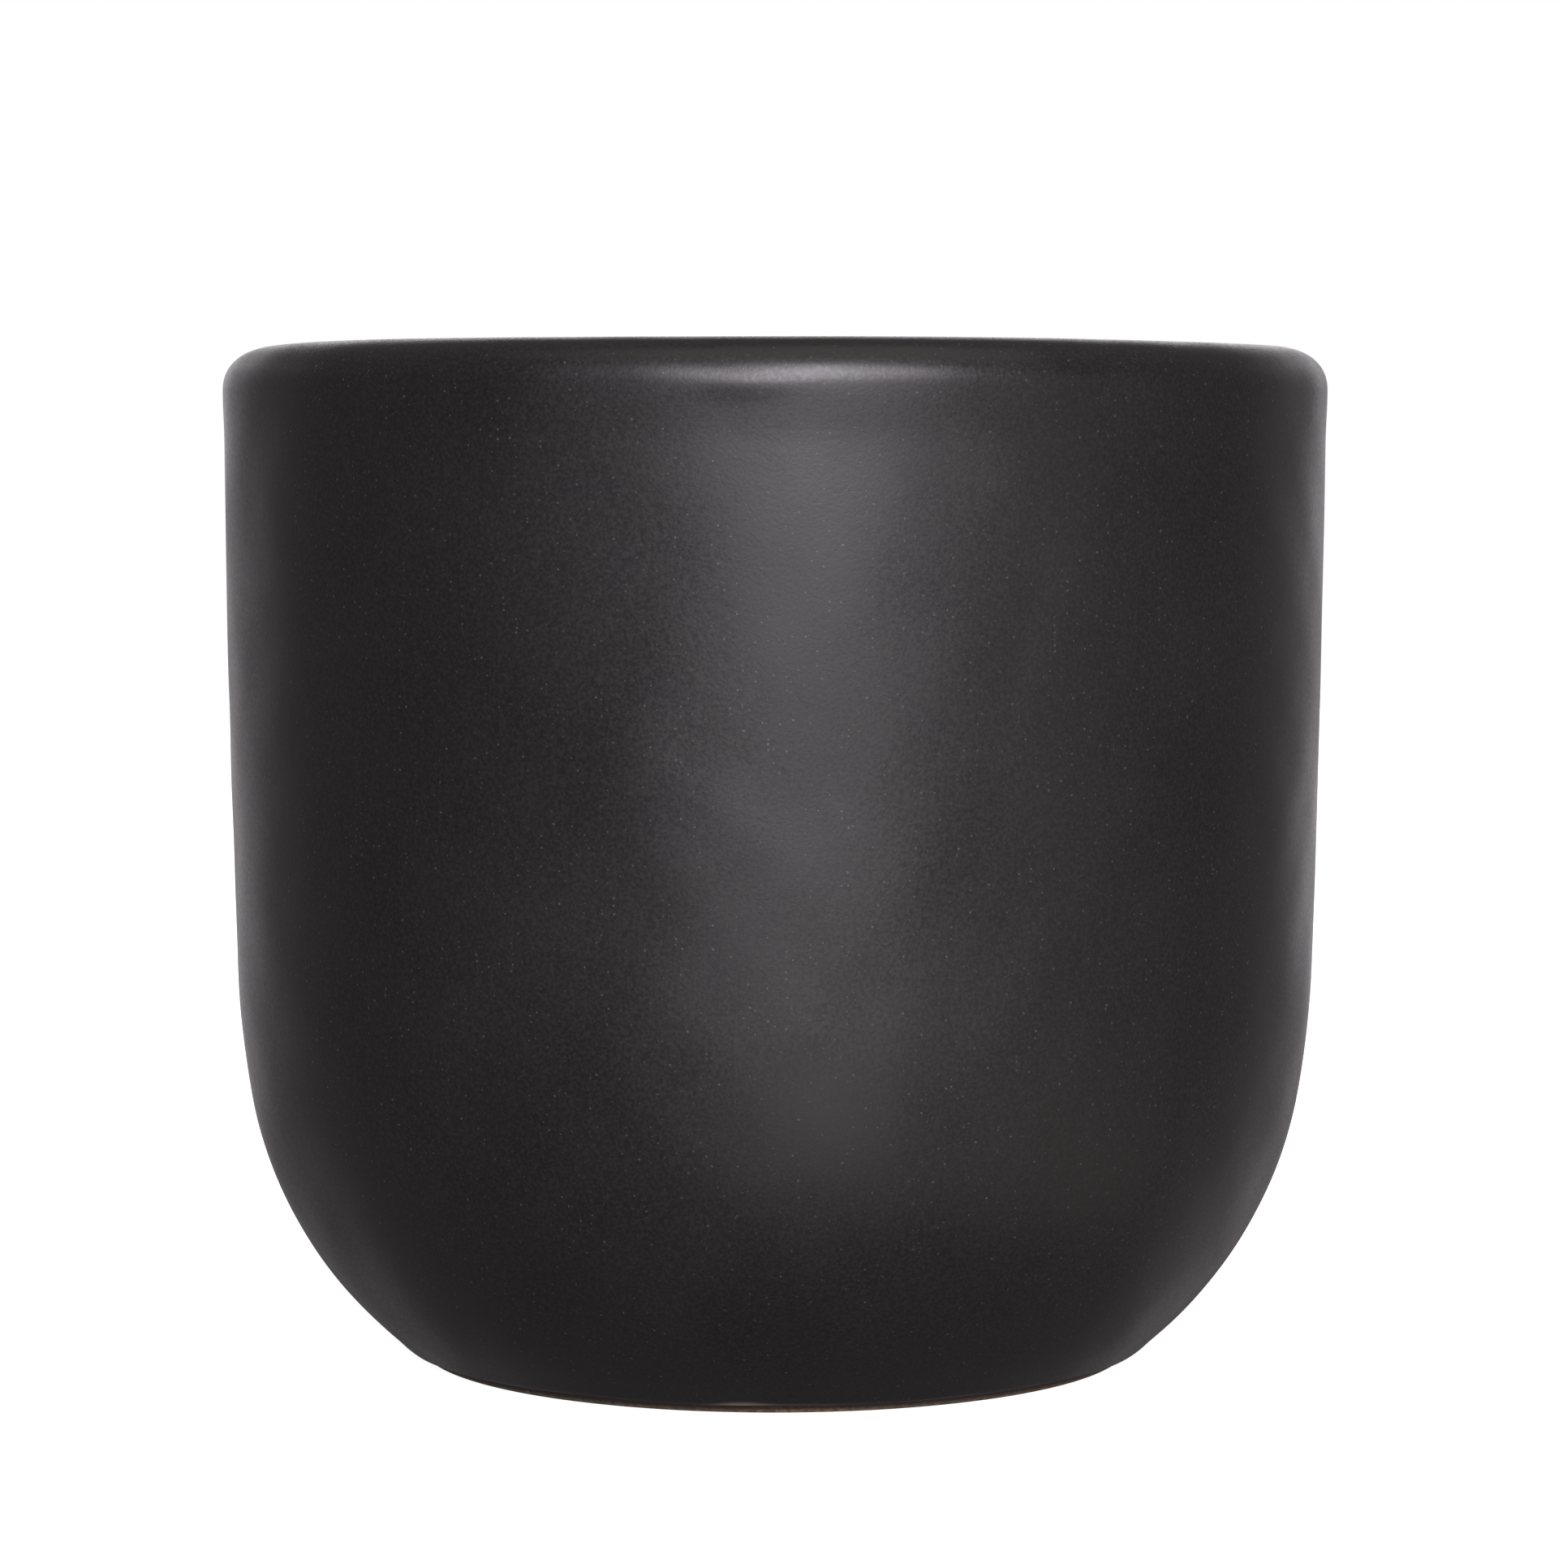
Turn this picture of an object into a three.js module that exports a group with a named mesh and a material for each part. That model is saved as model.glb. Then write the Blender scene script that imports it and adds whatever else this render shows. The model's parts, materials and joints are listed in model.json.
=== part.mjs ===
// Empty candle jar: a slip-cast stoneware vessel with a thick rounded lip, a nearly straight
// wall, a big round belly and a bare foot ring, coated outside and inside with black glaze.
// Millimetres, +Z up. The origin is the middle of the foot, on the surface the jar stands on.
import * as THREE from 'three';

// Outside of the jar, measured over the glaze
const RIM_RADIUS = 45;
const NECK_RADIUS = 44.89;
const NECK_HEIGHT = 74.5;
const BEAD_HEIGHT = 79;
const HEIGHT = 82.6;
const CREST_RADIUS = 40.2;
const LIP_SQUARENESS = 2.27; // 2 is an ellipse, more is squarer

// The wall leaves the neck leaning in by WALL_LEAN, then follows three arcs that touch:
// a long one down the side, a shoulder, and the belly, which runs on to the table.
const degrees = THREE.MathUtils.degToRad;
const WALL_LEAN = degrees(0.26);
const SIDE_ARC = { radius: 1604, lean: degrees(1.78), steps: 3 };
const SHOULDER_ARC = { radius: 70.9, lean: degrees(10.18), steps: 3 };
const BELLY_ARC = { radius: 33.8, steps: 9 };

// Inside of the jar, measured over the liner
const MOUTH_RADIUS = 38.1;
const MOUTH_HEIGHT = 79.6;
const FLOOR_HEIGHT = 7;
const FLOOR_RADIUS = 21;
const CORNER_RADIUS = 16.6;

// Coats and foot
const GLAZE_THICKNESS = 0.35;
const GLAZE_LINE = 0.6; // height of the bottom edge of the outer coat
const FOOT_RADIUS = 29.2;
const FOOT_INNER_RADIUS = 25.6;
const FOOT_EDGE = 0.25; // the small bevel on both edges of the foot
const RECESS_RADIUS = 24;
const RECESS_DEPTH = 1.6;
const BASE_GLAZE_RADIUS = 23.4;

const TURN_SEGMENTS = 60;
const BEAD_STEPS = 2;
const OUTER_LIP_STEPS = 6;
const INNER_LIP_STEPS = 4;
const CORNER_STEPS = 8;

// A profile is a list of stations. Each has a radius r, a height z, and the direction
// (nr, nz) that points out of the glaze there, so that a coat can be laid along it.
const station = (r, z, nr, nz) => ({ r, z, nr, nz });

// Stations down an arc that curves in under the jar, from one lean off vertical to another.
function arcDown(start, radius, fromLean, toLean, steps) {
  return Array.from({ length: steps }, (_, i) => {
    const lean = THREE.MathUtils.lerp(fromLean, toLean, (i + 1) / steps);
    const r = start.r - radius * (Math.cos(fromLean) - Math.cos(lean));
    const z = start.z - radius * (Math.sin(lean) - Math.sin(fromLean));
    return station(r, z, Math.cos(lean), -Math.sin(lean));
  });
}

// A quarter of a superellipse round the lip, from its side up to its crest. The side is a
// signed distance from the crest: positive outside the jar, negative inside.
function lipQuarter(sideRadius, sideHeight, steps) {
  const width = sideRadius - CREST_RADIUS;
  const rise = HEIGHT - sideHeight;
  return Array.from({ length: steps + 1 }, (_, i) => {
    const angle = (i / steps) * (Math.PI / 2);
    const across = i === steps ? 0 : Math.cos(angle) ** (2 / LIP_SQUARENESS);
    const up = i === 0 ? 0 : Math.sin(angle) ** (2 / LIP_SQUARENESS);
    const slopeR = across ** (LIP_SQUARENESS - 1) / width;
    const slopeZ = up ** (LIP_SQUARENESS - 1) / rise;
    const length = Math.hypot(slopeR, slopeZ);
    return station(CREST_RADIUS + width * across, sideHeight + rise * up, slopeR / length, slopeZ / length);
  });
}

// Outside of the glaze, from the glaze line up to the crest of the lip. The bead of the lip
// stands a little proud, so below it the wall eases back to the neck.
function outerSkin() {
  const lip = lipQuarter(RIM_RADIUS, BEAD_HEIGHT, OUTER_LIP_STEPS);
  const bead = Array.from({ length: BEAD_STEPS }, (_, i) => {
    const fall = (i + 1) / BEAD_STEPS;
    const ease = (1 - Math.cos(fall * Math.PI)) / 2;
    const r = THREE.MathUtils.lerp(RIM_RADIUS, NECK_RADIUS, ease);
    return station(r, THREE.MathUtils.lerp(BEAD_HEIGHT, NECK_HEIGHT, fall), 1, 0);
  });
  const side = arcDown(bead.at(-1), SIDE_ARC.radius, WALL_LEAN, SIDE_ARC.lean, SIDE_ARC.steps);
  const shoulder = arcDown(
    side.at(-1), SHOULDER_ARC.radius, SIDE_ARC.lean, SHOULDER_ARC.lean, SHOULDER_ARC.steps);
  const bellyTop = shoulder.at(-1);
  const lastLean = Math.asin(Math.sin(SHOULDER_ARC.lean) + (bellyTop.z - GLAZE_LINE) / BELLY_ARC.radius);
  const belly = arcDown(bellyTop, BELLY_ARC.radius, SHOULDER_ARC.lean, lastLean, BELLY_ARC.steps);
  const downward = [...bead, ...side, ...shoulder, ...belly];
  return [...downward.reverse(), ...lip];
}

// Inside of the liner, from the crest of the lip down the wall, round the corner and in
// along the floor to the axis.
function innerSkin() {
  const lip = lipQuarter(MOUTH_RADIUS, MOUTH_HEIGHT, INNER_LIP_STEPS).reverse();
  const corner = Array.from({ length: CORNER_STEPS + 1 }, (_, i) => {
    const angle = (i / CORNER_STEPS) * (Math.PI / 2);
    const r = FLOOR_RADIUS + CORNER_RADIUS * Math.cos(angle);
    const z = FLOOR_HEIGHT + CORNER_RADIUS * (1 - Math.sin(angle));
    return station(r, z, -Math.cos(angle), Math.sin(angle));
  });
  return [...lip, ...corner, station(0, FLOOR_HEIGHT, 0, 1)];
}

// The clay surface under a coat: every station moved into the clay by the coat's thickness.
const underCoat = (skin) => skin.map(({ r, z, nr, nz }) =>
  station(r - nr * GLAZE_THICKNESS, z - nz * GLAZE_THICKNESS, nr, nz));

// Turns a profile about the Z axis. Going up the outside and down the inside puts the faces
// outwards.
function turned(name, profile, material) {
  const outline = profile.map(({ r, z }) => new THREE.Vector2(r, z));
  const geometry = new THREE.LatheGeometry(outline, TURN_SEGMENTS);
  geometry.rotateX(Math.PI / 2);
  const mesh = new THREE.Mesh(geometry, new THREE.MeshStandardMaterial(material));
  mesh.name = name;
  return mesh;
}

// The cast and fired clay: foot ring, recess inside it, wall, lip and floor.
function clayBody() {
  const foot = [
    station(0, RECESS_DEPTH),
    station(RECESS_RADIUS, RECESS_DEPTH),
    station(FOOT_INNER_RADIUS - FOOT_EDGE, FOOT_EDGE),
    station(FOOT_INNER_RADIUS, 0),
    station(FOOT_RADIUS, 0),
    station(FOOT_RADIUS + FOOT_EDGE, FOOT_EDGE),
  ];
  const outside = underCoat(outerSkin());
  const inside = underCoat(innerSkin()).slice(1); // the crest is already the end of outside
  return turned('clay_body', [...foot, ...outside, ...inside],
    { color: 0x6e4c38, roughness: 0.9, metalness: 0 });
}

// The coat that shows: up from the glaze line, over the outer half of the lip.
function outerGlaze() {
  const skin = outerSkin();
  const bond = underCoat(skin).reverse();
  return turned('outer_glaze', [...skin, ...bond, skin[0]],
    { color: 0x1c1a1b, roughness: 0.45, metalness: 0 });
}

// The coat that keeps melted wax out of the clay: from the crest down to the floor.
function linerGlaze() {
  const skin = innerSkin();
  const bond = underCoat(skin).reverse();
  return turned('liner_glaze', [...bond, ...skin],
    { color: 0x181717, roughness: 0.3, metalness: 0 });
}

// The disc of glaze in the recess, which stops short of the wiped foot ring.
function baseGlaze() {
  const face = RECESS_DEPTH - GLAZE_THICKNESS;
  return turned('base_glaze', [
    station(0, face),
    station(BASE_GLAZE_RADIUS - GLAZE_THICKNESS, face),
    station(BASE_GLAZE_RADIUS, RECESS_DEPTH),
    station(0, RECESS_DEPTH),
  ], { color: 0x1c1a1b, roughness: 0.5, metalness: 0 });
}

const jar = new THREE.Group();
jar.add(clayBody(), outerGlaze(), linerGlaze(), baseGlaze());

export default jar;
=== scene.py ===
import json
from math import cos, pi, radians, sin, tan

import bpy
import numpy as np
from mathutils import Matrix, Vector


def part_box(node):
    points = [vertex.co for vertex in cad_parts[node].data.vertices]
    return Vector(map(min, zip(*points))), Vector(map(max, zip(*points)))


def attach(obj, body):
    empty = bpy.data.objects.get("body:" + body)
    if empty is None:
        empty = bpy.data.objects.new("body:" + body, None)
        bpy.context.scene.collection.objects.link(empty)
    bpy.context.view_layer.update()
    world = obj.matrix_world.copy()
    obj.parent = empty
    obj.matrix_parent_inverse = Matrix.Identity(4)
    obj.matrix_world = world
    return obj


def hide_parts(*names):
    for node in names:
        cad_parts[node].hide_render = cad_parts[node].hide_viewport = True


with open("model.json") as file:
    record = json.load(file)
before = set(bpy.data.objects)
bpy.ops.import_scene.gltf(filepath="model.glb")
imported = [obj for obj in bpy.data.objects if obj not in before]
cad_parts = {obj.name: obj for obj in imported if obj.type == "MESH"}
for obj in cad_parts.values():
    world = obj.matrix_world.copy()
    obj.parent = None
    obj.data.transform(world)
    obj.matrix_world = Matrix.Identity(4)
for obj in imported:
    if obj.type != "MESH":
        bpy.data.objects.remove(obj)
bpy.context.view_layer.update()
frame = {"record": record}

# ---- Clay body ---------------------------------------------------------------------------------
# Slip-cast brown stoneware, one thick wall from the foot ring to a rounded lip. After firing it shows
# only where the glaze was wiped off: a thin line round the foot and the flat ring the jar stands on.
COLUMNS = 480  # steps round the jar, on every piece

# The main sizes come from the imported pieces, so this jar fits the frame it is built around.
rim_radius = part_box("outer_glaze")[1].x
jar_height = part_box("outer_glaze")[1].z
crest_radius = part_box("liner_glaze")[1].x
recess_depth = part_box("base_glaze")[1].z
coat = jar_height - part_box("clay_body")[1].z
floor_height = next(m["pos_m"][2] for m in frame["record"]["mounts"] if m["name"] == "wick_seat")

# Outside of the glaze: the bead of the lip, the neck under it, then three touching arcs that lean in
# more and more, measured off vertical.
bead_height = 0.0790
neck_height = 0.0745
neck_radius = rim_radius - 0.00011
lip_squareness = 2.27  # 2 is an ellipse, more is squarer
wall_arcs = ((1.604, radians(0.26), radians(1.78), 60), (0.0709, radians(1.78), radians(10.18), 18))
belly_radius = 0.0338

# Inside of the liner: a tighter lip, a wall with a little draft, and a round corner to the floor.
mouth_radius = 0.0381
mouth_height = 0.0796
corner_radius = 0.0166
corner_centre = 0.0210

# Foot ring
foot_outer = 0.0292
foot_inner = 0.0256
foot_edge = 0.0003  # radius of both worn edges
recess_radius = 0.0240


def lip_quarter(side_radius, side_height, steps):
    """Quarter of a superellipse from the side of the lip up to its crest: across is cos(q) and up is
    sin(q), each to the power 2/squareness. Rows are radius, height and the outward normal's two parts."""
    q = np.linspace(0, pi / 2, steps + 1)
    across = np.clip(np.cos(q), 0, 1) ** (2 / lip_squareness)
    up = np.sin(q) ** (2 / lip_squareness)
    across[-1] = 0
    width, rise = side_radius - crest_radius, jar_height - side_height
    slope = np.stack([across ** (lip_squareness - 1) / width, up ** (lip_squareness - 1) / rise])
    slope /= np.hypot(*slope)
    return np.stack([crest_radius + width * across, side_height + rise * up, *slope], axis=1)


def arc_down(start, radius, lean_from, lean_to, steps):
    """Stations down an arc that curves in under the jar: the radius shrinks by R (cos from - cos lean) and
    the height by R (sin lean - sin from). The outward normal is (cos lean, -sin lean)."""
    lean = np.linspace(lean_from, lean_to, steps + 1)[1:]
    r = start[0] - radius * (cos(lean_from) - np.cos(lean))
    z = start[1] - radius * (np.sin(lean) - sin(lean_from))
    return np.stack([r, z, np.cos(lean), -np.sin(lean)], axis=1)


def outer_skin(lowest):
    """Outside of the glaze from the height lowest up to the crest of the lip."""
    lip = lip_quarter(rim_radius, bead_height, 26)
    fall = np.linspace(0, 1, 11)[1:]
    r = rim_radius + (neck_radius - rim_radius) * (1 - np.cos(pi * fall)) / 2
    z = bead_height + (neck_height - bead_height) * fall
    slope = (rim_radius - neck_radius) * pi / 2 * np.sin(pi * fall) / (bead_height - neck_height)
    length = np.hypot(1, slope)
    stations = [np.stack([r, z, 1 / length, -slope / length], axis=1)]
    for radius, lean_from, lean_to, steps in wall_arcs:
        stations.append(arc_down(stations[-1][-1], radius, lean_from, lean_to, steps))
    last_lean = np.arcsin(sin(lean_to) + (stations[-1][-1][1] - lowest) / belly_radius)
    stations.append(arc_down(stations[-1][-1], belly_radius, lean_to, last_lean, 44))
    return np.concatenate([np.concatenate(stations)[::-1], lip])


def inner_skin():
    """Inside of the liner, from the crest of the lip down the wall, round the corner and in to the axis."""
    lip = lip_quarter(mouth_radius, mouth_height, 20)[::-1]
    q = np.linspace(0, pi / 2, 33)
    corner = np.stack([
        corner_centre + corner_radius * np.cos(q),
        floor_height + corner_radius * (1 - np.sin(q)),
        -np.cos(q), np.sin(q)], axis=1)
    share = np.linspace(0, 1, 50)[1:-1, None]
    wall = lip[-1] + (corner[0] - lip[-1]) * share
    r = np.linspace(corner_centre, 0, 18)[1:]
    base = np.stack([r, np.full_like(r, floor_height), np.zeros_like(r), np.ones_like(r)], axis=1)
    return np.concatenate([lip, wall, corner, base])


def lifted(skin, lift):
    """The same stations moved along their normals, by a length or by one length per station and column.
    Returns radius and height on the grid of stations and columns."""
    lift = np.broadcast_to(np.asarray(lift, float), (len(skin), COLUMNS))
    return skin[:, :1] + skin[:, 2:3] * lift, skin[:, 1:2] + skin[:, 3:4] * lift


angle = np.linspace(0, 2 * pi, COLUMNS, endpoint=False)


def ripple(along, seed, waves, most_turns, shortest, size):
    """Soft unevenness of a hand-dipped surface, as a sum of plane waves on the unrolled wall. Each wave
    makes a whole number of turns round the jar, so the seam closes, and has its own pitch along the
    wall and phase. size is the root mean square height."""
    rng = np.random.default_rng(seed)
    turns = rng.integers(-most_turns, most_turns + 1, waves)[:, None, None]
    pitch = rng.uniform(-1, 1, waves)[:, None, None] / shortest
    phase = rng.uniform(0, 2 * pi, waves)[:, None, None]
    height = np.sin(turns * angle + 2 * pi * pitch * along[None, :, None] + phase).sum(axis=0)
    return size * height * np.sqrt(2 / waves)


def kiln_sag(radius, height):
    """What firing did to the whole jar, so that every piece agrees. It went out of round by slow waves that
    grow with the square of the height, and the lip went out of flat by waves that grow with its fourth
    power."""
    share = (height / jar_height) ** 2
    rounder = 0.00004 * np.sin(2 * angle + 0.7) + 0.00003 * np.sin(3 * angle + 2.1)
    flatter = 0.00005 * np.sin(2 * angle - 0.4) + 0.00003 * np.sin(5 * angle + 1.3)
    return radius * (1 + share * rounder / rim_radius), height + share ** 2 * flatter


def turned(name, radius, height, looped):
    """Surface of revolution on a grid: the point at station s and angle a is (R cos a, R sin a, H). A
    looped profile joins its last station to its first; any other one starts and ends in a pole."""
    radius, height = kiln_sag(radius, height)
    points = np.stack([radius * np.cos(angle), radius * np.sin(angle), height], axis=2)
    rows = len(points)
    index = np.arange(rows * COLUMNS).reshape(rows, COLUMNS)
    if looped:
        index = np.concatenate([index, index[:1]])
        points = points.reshape(-1, 3)
    else:
        points = np.concatenate([points[1:-1].reshape(-1, 3), points[:1, 0], points[-1:, 0]])
        index = index[:-2]
    right = np.roll(index, -1, axis=1)
    quads = np.stack([index[:-1], right[:-1], right[1:], index[1:]], axis=2).reshape(-1, 4).tolist()
    if not looped:
        first, last = len(points) - 2, len(points) - 1
        quads += [[first, b, a] for a, b in zip(index[0].tolist(), right[0].tolist())]
        quads += [[a, b, last] for a, b in zip(index[-1].tolist(), right[-1].tolist())]
    mesh = bpy.data.meshes.new(name)
    mesh.from_pydata(points.tolist(), [], quads)
    mesh.polygons.foreach_set("use_smooth", np.ones(len(mesh.polygons), bool))
    mesh.set_sharp_from_angle(angle=radians(50))
    piece = bpy.data.objects.new(name, mesh)
    bpy.context.scene.collection.objects.link(piece)
    return piece


def rounded_corner(r, z, radius, turn_from, turn_to, steps):
    """Stations round a corner of the foot: a circle about (r, z), normals pointing straight out of it."""
    q = np.linspace(turn_from, turn_to, steps)
    return np.stack([r + radius * np.cos(q), z + radius * np.sin(q), np.cos(q), np.sin(q)], axis=1)


# The clay lies just under the coats. Only its lowest stations show, down to the worn edge of the foot, and
# under the glaze every second station is enough.
bond_gap = 0.00001
under_outside = outer_skin(0.0002)
under_outside = np.concatenate([under_outside[:6], under_outside[6::2]])
under_outside[:, 0] -= under_outside[:, 2] * (coat + bond_gap)
under_outside[:, 1] -= under_outside[:, 3] * (coat + bond_gap)
under_inside = inner_skin()[2::2]
under_inside[:, 0] -= under_inside[:, 2] * (coat + bond_gap)
under_inside[:, 1] -= under_inside[:, 3] * (coat + bond_gap)
ceiling = np.linspace(0, recess_radius, 9)[:, None]
foot_stations = np.concatenate([
    np.hstack([ceiling, np.full((9, 1), recess_depth), np.zeros((9, 1)), -np.ones((9, 1))]),
    rounded_corner(foot_inner + foot_edge, foot_edge, foot_edge, radians(215), radians(270), 7),
    rounded_corner(foot_outer - foot_edge, foot_edge, foot_edge, radians(270), radians(322), 7),
])
clay = np.concatenate([foot_stations, under_outside, under_inside])
clay_radius, clay_height = lifted(clay, 0)
stoneware = turned("stoneware", clay_radius, clay_height, looped=False)


def grain_group():
    """Fine surface texture shared by the clay and the glazes, on Object coordinates. Grain is the even
    fine speckle, Specks the pale flecks from faint to bright, Mottle the slow cloudiness, and Height the
    relief of all three, with a low dome on each fleck."""
    group = bpy.data.node_groups.new("fired_grain", "ShaderNodeTree")
    for name, value in (("Grain Scale", 2000.0), ("Speck Scale", 1500.0), ("Speck Size", 0.14),
                        ("Speck Chance", 0.5), ("Mottle Scale", 120.0)):
        socket = group.interface.new_socket(name, in_out="INPUT", socket_type="NodeSocketFloat")
        socket.default_value = value
    for name in ("Grain", "Specks", "Mottle", "Height"):
        group.interface.new_socket(name, in_out="OUTPUT", socket_type="NodeSocketFloat")
    nodes, links = group.nodes, group.links
    inputs, outputs = nodes.new("NodeGroupInput"), nodes.new("NodeGroupOutput")
    place = nodes.new("ShaderNodeTexCoord")

    def noise(scale_socket, detail, roughness):
        node = nodes.new("ShaderNodeTexNoise")
        links.new(place.outputs["Object"], node.inputs["Vector"])
        links.new(inputs.outputs[scale_socket], node.inputs["Scale"])
        node.inputs["Detail"].default_value = detail
        node.inputs["Roughness"].default_value = roughness
        return node.outputs["Fac"]

    def sums(operation, *values):
        node = nodes.new("ShaderNodeMath")
        node.operation = operation
        for socket, value in zip(node.inputs, values):
            if isinstance(value, float):
                socket.default_value = value
            else:
                links.new(value, socket)
        return node.outputs["Value"]

    def ramp(value, start, end):
        node = nodes.new("ShaderNodeMapRange")
        node.interpolation_type = "SMOOTHSTEP"
        links.new(value, node.inputs["Value"])
        for name, edge in (("From Min", start), ("From Max", end)):
            if isinstance(edge, float):
                node.inputs[name].default_value = edge
            else:
                links.new(edge, node.inputs[name])
        return node.outputs["Result"]

    grain = noise("Grain Scale", 3.0, 0.62)
    mottle = noise("Mottle Scale", 3.0, 0.55)
    cells = nodes.new("ShaderNodeTexVoronoi")
    links.new(place.outputs["Object"], cells.inputs["Vector"])
    links.new(inputs.outputs["Speck Scale"], cells.inputs["Scale"])
    luck = nodes.new("ShaderNodeSeparateColor")
    links.new(cells.outputs["Color"], luck.inputs["Color"])
    own_size = sums("MULTIPLY_ADD", luck.outputs["Green"], 0.7, 0.3)
    reach = sums("MULTIPLY", inputs.outputs["Speck Size"], own_size)
    inside = sums("SUBTRACT", 1.0, ramp(cells.outputs["Distance"], sums("MULTIPLY", reach, 0.5), reach))
    strength = sums("POWER", ramp(luck.outputs["Red"], inputs.outputs["Speck Chance"], 1.0), 2.0)
    specks = sums("MULTIPLY", inside, strength)
    relief = sums("MULTIPLY_ADD", specks, 0.35, sums("MULTIPLY_ADD", mottle, 2.5, grain))
    for name, value in (("Grain", grain), ("Specks", specks), ("Mottle", mottle), ("Height", relief)):
        links.new(value, outputs.inputs[name])
    return group


fired_grain = grain_group()


class Finish:
    """A new material with its Principled shader and short ways to add the nodes these finishes use."""

    def __init__(self, name):
        self.material = bpy.data.materials.new(name)
        self.material.use_nodes = True
        self.tree = self.material.node_tree
        self.shader = self.tree.nodes["Principled BSDF"]

    def link(self, output, socket):
        self.tree.links.new(output, socket)

    def grain(self, **scales):
        node = self.tree.nodes.new("ShaderNodeGroup")
        node.node_tree = fired_grain
        for name, value in scales.items():
            node.inputs[name.replace("_", " ").title()].default_value = value
        return node

    def spread(self, value, low, high, to_low, to_high):
        """Maps value from the range low to high onto to_low to to_high, held at both ends."""
        node = self.tree.nodes.new("ShaderNodeMapRange")
        self.link(value, node.inputs["Value"])
        for name, number in zip(("From Min", "From Max", "To Min", "To Max"), (low, high, to_low, to_high)):
            node.inputs[name].default_value = number
        return node.outputs["Result"]

    def added(self, one, other):
        node = self.tree.nodes.new("ShaderNodeMath")
        self.link(one, node.inputs[0])
        self.link(other, node.inputs[1])
        return node.outputs["Value"]

    def mixed(self, share, one, other):
        """Colour mix; one and other are colours or sockets."""
        node = self.tree.nodes.new("ShaderNodeMix")
        node.data_type = "RGBA"
        self.link(share, node.inputs["Factor"])
        for value, name in ((one, "A"), (other, "B")):
            socket = next(s for s in node.inputs if s.name == name and s.type == "RGBA")
            if isinstance(value, tuple):
                socket.default_value = (*value, 1)
            else:
                self.link(value, socket)
        return next(s for s in node.outputs if s.type == "RGBA")

    def relief(self, height, depth):
        bump = self.tree.nodes.new("ShaderNodeBump")
        bump.inputs["Distance"].default_value = depth
        self.link(height, bump.inputs["Height"])
        self.link(bump.outputs["Normal"], self.shader.inputs["Normal"])


# The clay is browner and lighter in some places round the foot, and most of all at the middle of the front.
from_front = (angle + pi / 2 + pi) % (2 * pi) - pi
elsewhere = 1 - np.exp(-(from_front / 0.9) ** 4)
browning = 0.15 + elsewhere * ripple(np.zeros(1), 9, 8, 7, 1.0, 0.16)[0]
browning = np.clip(browning + 0.85 * np.exp(-((from_front - 0.03) / 0.17) ** 2), 0, 1)
pole_browning = [0.2, 0.2]
rings = np.broadcast_to(browning, (len(clay) - 2, COLUMNS)).ravel()
stoneware.data.attributes.new("browned", "FLOAT", "POINT").data.foreach_set(
    "value", np.concatenate([rings, pole_browning]).astype(np.float32))

bare = Finish("bare_stoneware")
sand = bare.grain(
    grain_scale=2600.0, speck_scale=1800.0, speck_size=0.3, speck_chance=0.6, mottle_scale=70.0)
browned = bare.tree.nodes.new("ShaderNodeAttribute")
browned.attribute_name = "browned"
browner_clay = bare.mixed(browned.outputs["Fac"], (0.120, 0.106, 0.084), (0.27, 0.155, 0.088))
gritty = bare.mixed(bare.spread(sand.outputs["Grain"], 0.42, 0.62, 0.7, 0), browner_clay, (0.055, 0.038, 0.028))
flecked_clay = bare.mixed(sand.outputs["Specks"], gritty, (0.36, 0.31, 0.25))
place = bare.tree.nodes.new("ShaderNodeTexCoord")
axes = bare.tree.nodes.new("ShaderNodeSeparateXYZ")
bare.link(place.outputs["Object"], axes.inputs["Vector"])
# Painted shade: the clay is darkened from 0.18 mm up, fully from 0.40 mm, for the shadow under the rolled
# edge of the glaze. This leaves the lowest band lighter, and also darkens all clay higher up, inside the
# foot ring too.
glaze_edge_shade = bare.spread(axes.outputs["Z"], 0.00018, 0.00040, 0, 0.85)
painted_shade_clay = bare.mixed(glaze_edge_shade, flecked_clay, (0.030, 0.019, 0.014))
bare.link(painted_shade_clay, bare.shader.inputs["Base Color"])
bare.shader.inputs["Roughness"].default_value = 0.88
bare.relief(sand.outputs["Height"], 0.00006)
stoneware.data.materials.append(bare.material)
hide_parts("clay_body")
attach(stoneware, "root")

# ---- Outer glaze -------------------------------------------------------------------------------
# Satin black glaze, dipped and fused to the clay from the crest of the lip down to a wiped line just
# above the foot. Its edge is rolled, and breaks to a thin tan thread where the coat runs out.
line_height = 0.0006
skin = outer_skin(line_height)
step = np.hypot(np.diff(skin[:, 0]), np.diff(skin[:, 1]))
along = np.concatenate([[0], np.cumsum(step)])  # distance up the wall from the glaze line
fine = np.linspace(0, 1, 14)[:-1] ** 1.5 * along[2]  # closer stations round the rolled edge
up_wall = np.concatenate([fine, along[2:]])
skin = np.stack([np.interp(up_wall, along, skin[:, k]) for k in range(4)], axis=1)
bond = skin.copy()
bond[:, 0] -= skin[:, 2] * coat
bond[:, 1] -= skin[:, 3] * coat

heights = skin[:, 1:2]
mm = 0.001


def patches(spots):
    """Soft spots on the unrolled wall. Each adds its strength times exp(-(u^2 + v^2)), where u and v are
    the distances across and up from its middle, each over the spot's half size that way. The middle
    shifts sideways by lean for each unit of height, so a leaning spot is a slanting streak. A spot is
    azimuth in degrees round from the middle of the front, height, across and tall in millimetres, lean
    and strength."""
    total = np.zeros((len(heights), COLUMNS))
    for azimuth, height, across, tall, lean, strength in spots:
        up = (heights - height * mm) / mm
        side = rim_radius * ((angle - radians(azimuth - 90) + pi) % (2 * pi) - pi) / mm
        total += strength * np.exp(-((side - lean * up) / across) ** 2 - (up / tall) ** 2)
    return total


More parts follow.
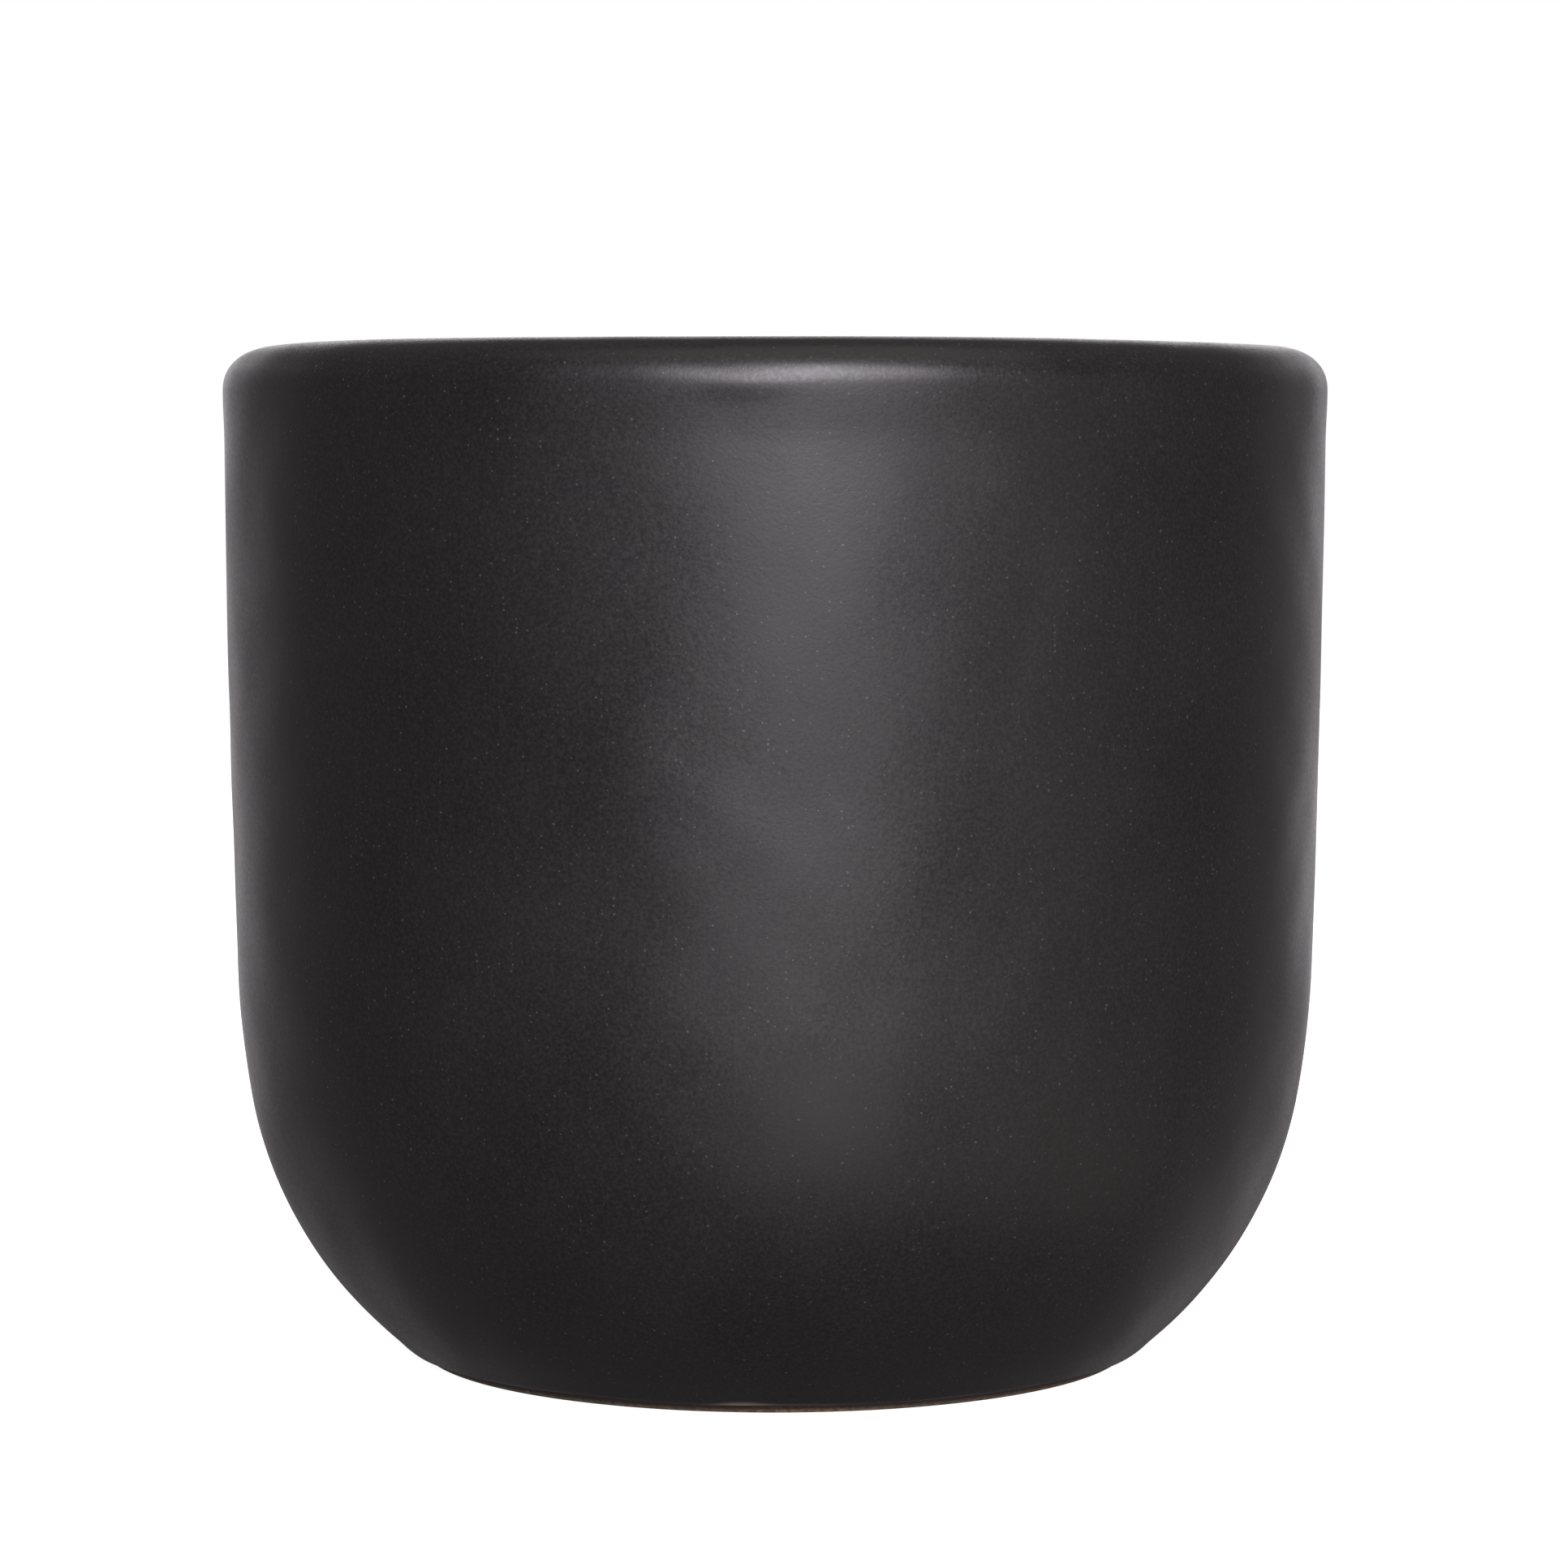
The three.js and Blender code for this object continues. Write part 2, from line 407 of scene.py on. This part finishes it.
# The line wanders with the sponge that wiped it, so the coat starts a little higher or lower.
wiped_higher = patches(((-32, 0, 9, 9, 0, 0.14), (33, 0, 9, 9, 0, 0.09), (150, 0, 12, 9, 0, 0.12)))[0] * mm
wander = ripple(np.zeros(1), 5, 14, 23, 1.0, 0.00006)[0] + 0.00008 + wiped_higher
above_line = up_wall[:, None] - np.clip(wander, 0, None)

# The edge is a quarter round that reaches the full coat at edge_reach, with a slight pool just above it.
edge_reach = 0.0005
roll = np.sqrt(np.clip(1 - (1 - np.clip(above_line / edge_reach, 0, 1)) ** 2, 0, 1))
pool_above, pool_reach, pool_swell = 0.0008, 0.0007, 0.00007
pooled = pool_swell * np.exp(-((above_line - pool_above) / pool_reach) ** 2)

# Where the wall is proud or hollow, in millimetres: slow swellings down the front from the mould, a fat
# drop on the lip, a groove and a run of glaze at the right, a small lap at the left, and runs behind.
uneven_places = patches((
    (5, 64, 4.0, 5.0, 0, 0.050), (4, 50, 6.0, 5.5, 0, -0.080), (8, 48, 3.0, 6.0, 0, -0.050),
    (6, 24.5, 5.5, 6.0, 0, 0.160), (13, 34, 3.0, 8.0, 0, 0.100),
    (-12, 47, 4.5, 9.0, -0.4, 0.170), (-7, 48.5, 4.0, 5.0, -1.0, 0.060), (-6, 44, 2.5, 1.8, 2, 0.012),
    (-3, 79.0, 3.8, 0.9, 0, 0.115),
    (22, 54, 3.0, 9, 0.2, -0.100), (24.5, 60, 1.6, 8, 0.25, -0.055), (26, 34, 2.2, 9, 0.15, 0.050),
    (37, 57, 1.0, 7, 0.03, 0.020), (-27.5, 71, 2.4, 0.6, -0.6, 0.015), (22, 3.5, 2.5, 2.0, 0, 0.030),
    (118, 50, 2.2, 16, 0.1, 0.060), (-100, 52, 1.8, 14, -0.12, 0.050), (200, 46, 2.0, 18, 0.06, 0.060),
))
fade = np.clip((along[-1] - up_wall) / 0.004, 0, 1) * np.clip(up_wall / 0.004, 0, 1)
uneven = fade[:, None] * (
    ripple(up_wall, 11, 30, 9, 0.030, 0.000015)
    + ripple(up_wall, 13, 40, 30, 0.045, 0.000010)
    + ripple(up_wall, 12, 60, 40, 0.008, 0.000009)
    + uneven_places * mm)
glaze_radius, glaze_height = lifted(bond, roll * (coat + pooled) + uneven)
under_radius, under_height = lifted(bond[::-6], 0)
outer_coat = turned(
    "outer_coat",
    np.concatenate([glaze_radius, under_radius]),
    np.concatenate([glaze_height, under_height]),
    looped=True)


def painted(name, values):
    """Stores values, one for each station and column of the outside, on the coat's points."""
    field = np.zeros((len(up_wall) + len(under_radius), COLUMNS), np.float32)
    field[:len(up_wall)] = values
    outer_coat.data.attributes.new(name, "FLOAT", "POINT").data.foreach_set("value", field.ravel())


# Where the coat runs out it breaks to tan, more in some places than in others.
break_spots = patches(((-5, 0, 2.8, 9, 0, 1.1), (170, 0, 5, 9, 0, 0.8)))[0]
breaking = np.clip(0.36 + ripple(np.zeros(1), 8, 10, 14, 1.0, 0.14)[0] + break_spots, 0, 2)
break_reach = 0.0004
painted("thin", breaking * np.exp(-np.clip(above_line, 0, None) / break_reach))

# Fired drier and more matt in some places than in others, and glossiest on the lip.
lip_gloss = 2.0 * np.clip((heights - bead_height) / (jar_height - bead_height), 0, 1) ** 0.5
dryness = ripple(up_wall, 15, 40, 16, 0.018, 0.5) + ripple(up_wall, 16, 50, 36, 0.009, 0.3)
painted("dry", dryness - lip_gloss)


def black_glaze(name, flecks):
    """The glaze: near-black with a warm and a green-grey cloud, a fine grain, and pale flecks of the size
    given. Returns the finish, its colour, and what the grain adds to its roughness."""
    glaze = Finish(name)
    grain = glaze.grain(grain_scale=3600.0, speck_scale=2200.0, speck_size=flecks, speck_chance=0.0,
                        mottle_scale=160.0)
    cloud = glaze.mixed(glaze.spread(grain.outputs["Mottle"], 0.40, 0.60, 0, 1),
                        (0.0058, 0.0060, 0.0057), (0.0074, 0.0060, 0.0062))
    powder = glaze.spread(grain.outputs["Grain"], 0.42, 0.66, 0, 1)
    powdery = glaze.mixed(powder, cloud, (0.0114, 0.0106, 0.0101))
    flecked = glaze.mixed(grain.outputs["Specks"], powdery, (0.052, 0.049, 0.048))
    glaze.link(flecked, glaze.shader.inputs["Base Color"])
    glaze.relief(grain.outputs["Height"], 0.000011)
    gritty_gloss = glaze.spread(grain.outputs["Grain"], 0.35, 0.65, -0.05, 0.05)
    return glaze, flecked, gritty_gloss


satin, satin_colour, satin_grit = black_glaze("satin_black_glaze", 0.27)
thin = satin.tree.nodes.new("ShaderNodeAttribute")
thin.attribute_name = "thin"
dry = satin.tree.nodes.new("ShaderNodeAttribute")
dry.attribute_name = "dry"
break_line = satin.spread(thin.outputs["Fac"], 0.10, 1.0, 0, 1)
satin.link(satin.mixed(break_line, satin_colour, (0.80, 0.67, 0.53)), satin.shader.inputs["Base Color"])
satin_roughness = satin.added(satin.spread(dry.outputs["Fac"], -2, 2, 0.34, 0.50), satin_grit)
satin.link(satin_roughness, satin.shader.inputs["Roughness"])
outer_coat.data.materials.append(satin.material)
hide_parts("outer_glaze")
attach(outer_coat, "root")

# ---- Liner glaze -------------------------------------------------------------------------------
# The same black glaze poured inside and swirled, so that melted wax can't soak into the clay. It meets
# the outer coat on the crest of the lip and is a little glossier than the outer coat all over.
skin = inner_skin()
bond = skin.copy()
bond[:, 0] -= skin[:, 2] * coat
bond[:, 1] -= skin[:, 3] * coat
down_wall = np.concatenate([[0], np.cumsum(np.hypot(np.diff(skin[:, 0]), np.diff(skin[:, 1])))])
fade = np.clip(down_wall / 0.004, 0, 1) * np.clip((down_wall[-1] - down_wall) / 0.012, 0, 1)
uneven = fade[:, None] * (
    ripple(down_wall, 21, 30, 8, 0.030, 0.00004) + ripple(down_wall, 22, 30, 20, 0.012, 0.000008))
liner_radius, liner_height = lifted(bond, coat + uneven)
liner_radius = np.maximum(liner_radius, 0)
under_radius, under_height = lifted(bond[::-4], 0)
liner_coat = turned(
    "liner_coat",
    np.concatenate([under_radius, liner_radius]),
    np.concatenate([under_height, liner_height]),
    looped=False)
pooled_glaze, _, pooled_grit = black_glaze("pooled_black_glaze", 0.20)
pooled_roughness = pooled_glaze.spread(pooled_grit, -0.05, 0.05, 0.32, 0.42)
pooled_glaze.link(pooled_roughness, pooled_glaze.shader.inputs["Roughness"])
liner_coat.data.materials.append(pooled_glaze.material)
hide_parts("liner_glaze")
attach(liner_coat, "root")

# ---- Base glaze --------------------------------------------------------------------------------
# A disc of the outer glaze left inside the foot ring, which was wiped bare so that the jar doesn't
# stick to the kiln shelf. Its edge is rolled and a little ragged from the sponge.
disc_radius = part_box("base_glaze")[1].x
disc_wander = ripple(np.zeros(1), 31, 12, 17, 1.0, 0.00022)[0]
reach = np.linspace(0, 1, 40)[:, None] ** 0.6
wiped_back = 0.0006
disc_r = reach * (disc_radius - wiped_back + disc_wander * reach ** 6)
swell = coat * np.sqrt(np.clip(1 - reach ** 16, 0, 1))
low_face = recess_depth - bond_gap - swell + 0.00002 * reach * np.sin(3 * angle + 0.4) * (1 - reach)
top_r = disc_r[::-6]
base_coat = turned(
    "base_coat",
    np.concatenate([disc_r, top_r[1:]]),
    np.concatenate([low_face, np.full_like(top_r[1:], recess_depth - bond_gap)]),
    looped=False)
base_coat.data.materials.append(satin.material)
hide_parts("base_glaze")
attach(base_coat, "root")

# ---- Stage, light and camera -------------------------------------------------------------------
# A white table and a white surround, with soft panels: a key high in front, one overhead, a weak one at the
# right, low ones that stand for the light a white table throws up, and screens behind the jar that draw the
# edges of the black glaze.
half = 1.5
table_mesh = bpy.data.meshes.new("table")
corners = [(-half, -half, 0), (half, -half, 0), (half, half, 0), (-half, half, 0)]
table_mesh.from_pydata(corners, [], [(0, 1, 2, 3)])
table = bpy.data.objects.new("table", table_mesh)
bpy.context.scene.collection.objects.link(table)
table.visible_glossy = False
table.visible_diffuse = False
table.visible_shadow = False
paper = bpy.data.materials.new("white_table")
paper.use_nodes = True
paper_nodes, paper_links = paper.node_tree.nodes, paper.node_tree.links
paper_shader = paper_nodes["Principled BSDF"]
paper_shader.inputs["Base Color"].default_value = (0.55, 0.55, 0.55, 1)
paper_shader.inputs["Roughness"].default_value = 0.9
paper_shader.inputs["Specular IOR Level"].default_value = 0.0
paper_shader.inputs["Emission Color"].default_value = (1, 1, 1, 1)
paper_shader.inputs["Emission Strength"].default_value = 0.93
# From below the table is clear, so that the foot can be looked at.
side_seen = paper_nodes.new("ShaderNodeNewGeometry")
clear = paper_nodes.new("ShaderNodeBsdfTransparent")
either = paper_nodes.new("ShaderNodeMixShader")
paper_links.new(side_seen.outputs["Backfacing"], either.inputs["Fac"])
paper_links.new(paper_shader.outputs["BSDF"], either.inputs[1])
paper_links.new(clear.outputs["BSDF"], either.inputs[2])
paper_links.new(either.outputs["Shader"], paper_nodes["Material Output"].inputs["Surface"])
table_mesh.materials.append(paper)

middle = Vector((0, 0, jar_height / 2))


def soft_panel(name, azimuth, elevation, distance, wide, tall, radiance, colour):
    """A rectangular light that faces the jar from azimuth degrees right of the camera's side and from
    elevation degrees up, and looks wide by tall degrees big from there. Its power is radiance times pi
    times its area."""
    a, e = radians(azimuth), radians(elevation)
    lamp = bpy.data.lights.new(name, "AREA")
    lamp.shape = "RECTANGLE"
    lamp.size, lamp.size_y = 2 * distance * tan(radians(wide / 2)), 2 * distance * tan(radians(tall / 2))
    lamp.energy = radiance * pi * lamp.size * lamp.size_y
    lamp.color = colour
    panel = bpy.data.objects.new(name, lamp)
    towards = Vector((sin(a) * cos(e), -cos(a) * cos(e), sin(e)))
    panel.location = middle + towards * distance
    panel.rotation_mode = "QUATERNION"
    panel.rotation_quaternion = towards.to_track_quat("Z", "Y")
    panel.visible_camera = False
    bpy.context.scene.collection.objects.link(panel)


key_white = (1.06, 1.0, 1.085)
fill_white = (1.10, 1.0, 0.99)
back_white = (1.04, 1.0, 1.04)
soft_panel("key_panel", 6.5, 26, 1.2, 40, 42, 10.9, key_white)
bpy.data.lights["key_panel"].shape = "ELLIPSE"
bpy.data.lights["key_panel"].energy *= pi / 4
soft_panel("top_panel", 30, 80, 0.9, 50, 50, 0.57, fill_white)
soft_panel("right_panel", 55, 5, 1.1, 26, 26, 0.42, fill_white)
soft_panel("low_panel", 9, -23, 0.9, 30, 20, 1.54, fill_white)
soft_panel("low_right_panel", 62, -28, 0.9, 50, 26, 0.34, fill_white)
soft_panel("back_panel", 180, 5, 1.0, 64, 36, 1.1, back_white)
soft_panel("back_strip", 180, 5, 1.1, 24, 36, 0.9, back_white)
soft_panel("back_right_panel", 138, 5, 1.1, 20, 36, 0.27, back_white)
soft_panel("back_left_panel", -138, 5, 1.1, 20, 36, 0.34, back_white)
soft_panel("back_low_right_panel", 140, -25, 1.1, 40, 22, 0.32, back_white)
soft_panel("back_low_left_panel", -140, -25, 1.1, 40, 22, 0.22, back_white)

surround = bpy.data.worlds.new("white_surround")
surround.use_nodes = True
bpy.context.scene.world = surround
world_tree = surround.node_tree
ambient = world_tree.nodes["Background"]
ambient.inputs["Color"].default_value = (1, 0.93, 0.95, 1)
ambient.inputs["Strength"].default_value = 0.15
backdrop = world_tree.nodes.new("ShaderNodeBackground")
backdrop.inputs["Color"].default_value = (1, 1, 1, 1)
light_path = world_tree.nodes.new("ShaderNodeLightPath")
choose = world_tree.nodes.new("ShaderNodeMixShader")
world_tree.links.new(light_path.outputs["Is Camera Ray"], choose.inputs["Fac"])
world_tree.links.new(ambient.outputs[0], choose.inputs[1])
world_tree.links.new(backdrop.outputs[0], choose.inputs[2])
world_tree.links.new(choose.outputs[0], world_tree.nodes["World Output"].inputs["Surface"])
bpy.context.scene.view_settings.view_transform = "Standard"

# The camera stands in front of the jar with its lens just under the height of the lip.
camera_distance = 0.4058
camera_height = 0.07435
camera_pitch = radians(3.895)  # looking down
camera_turn = radians(0.1016)  # to the right
lens = bpy.data.cameras.new("camera")
lens.sensor_fit = "HORIZONTAL"
lens.sensor_width = 36.0
lens.lens = 113.28
camera = bpy.data.objects.new("camera", lens)
camera.location = (0, -camera_distance, camera_height)
camera.rotation_euler = (pi / 2 - camera_pitch, 0, -camera_turn)
bpy.context.scene.collection.objects.link(camera)
bpy.context.scene.camera = camera
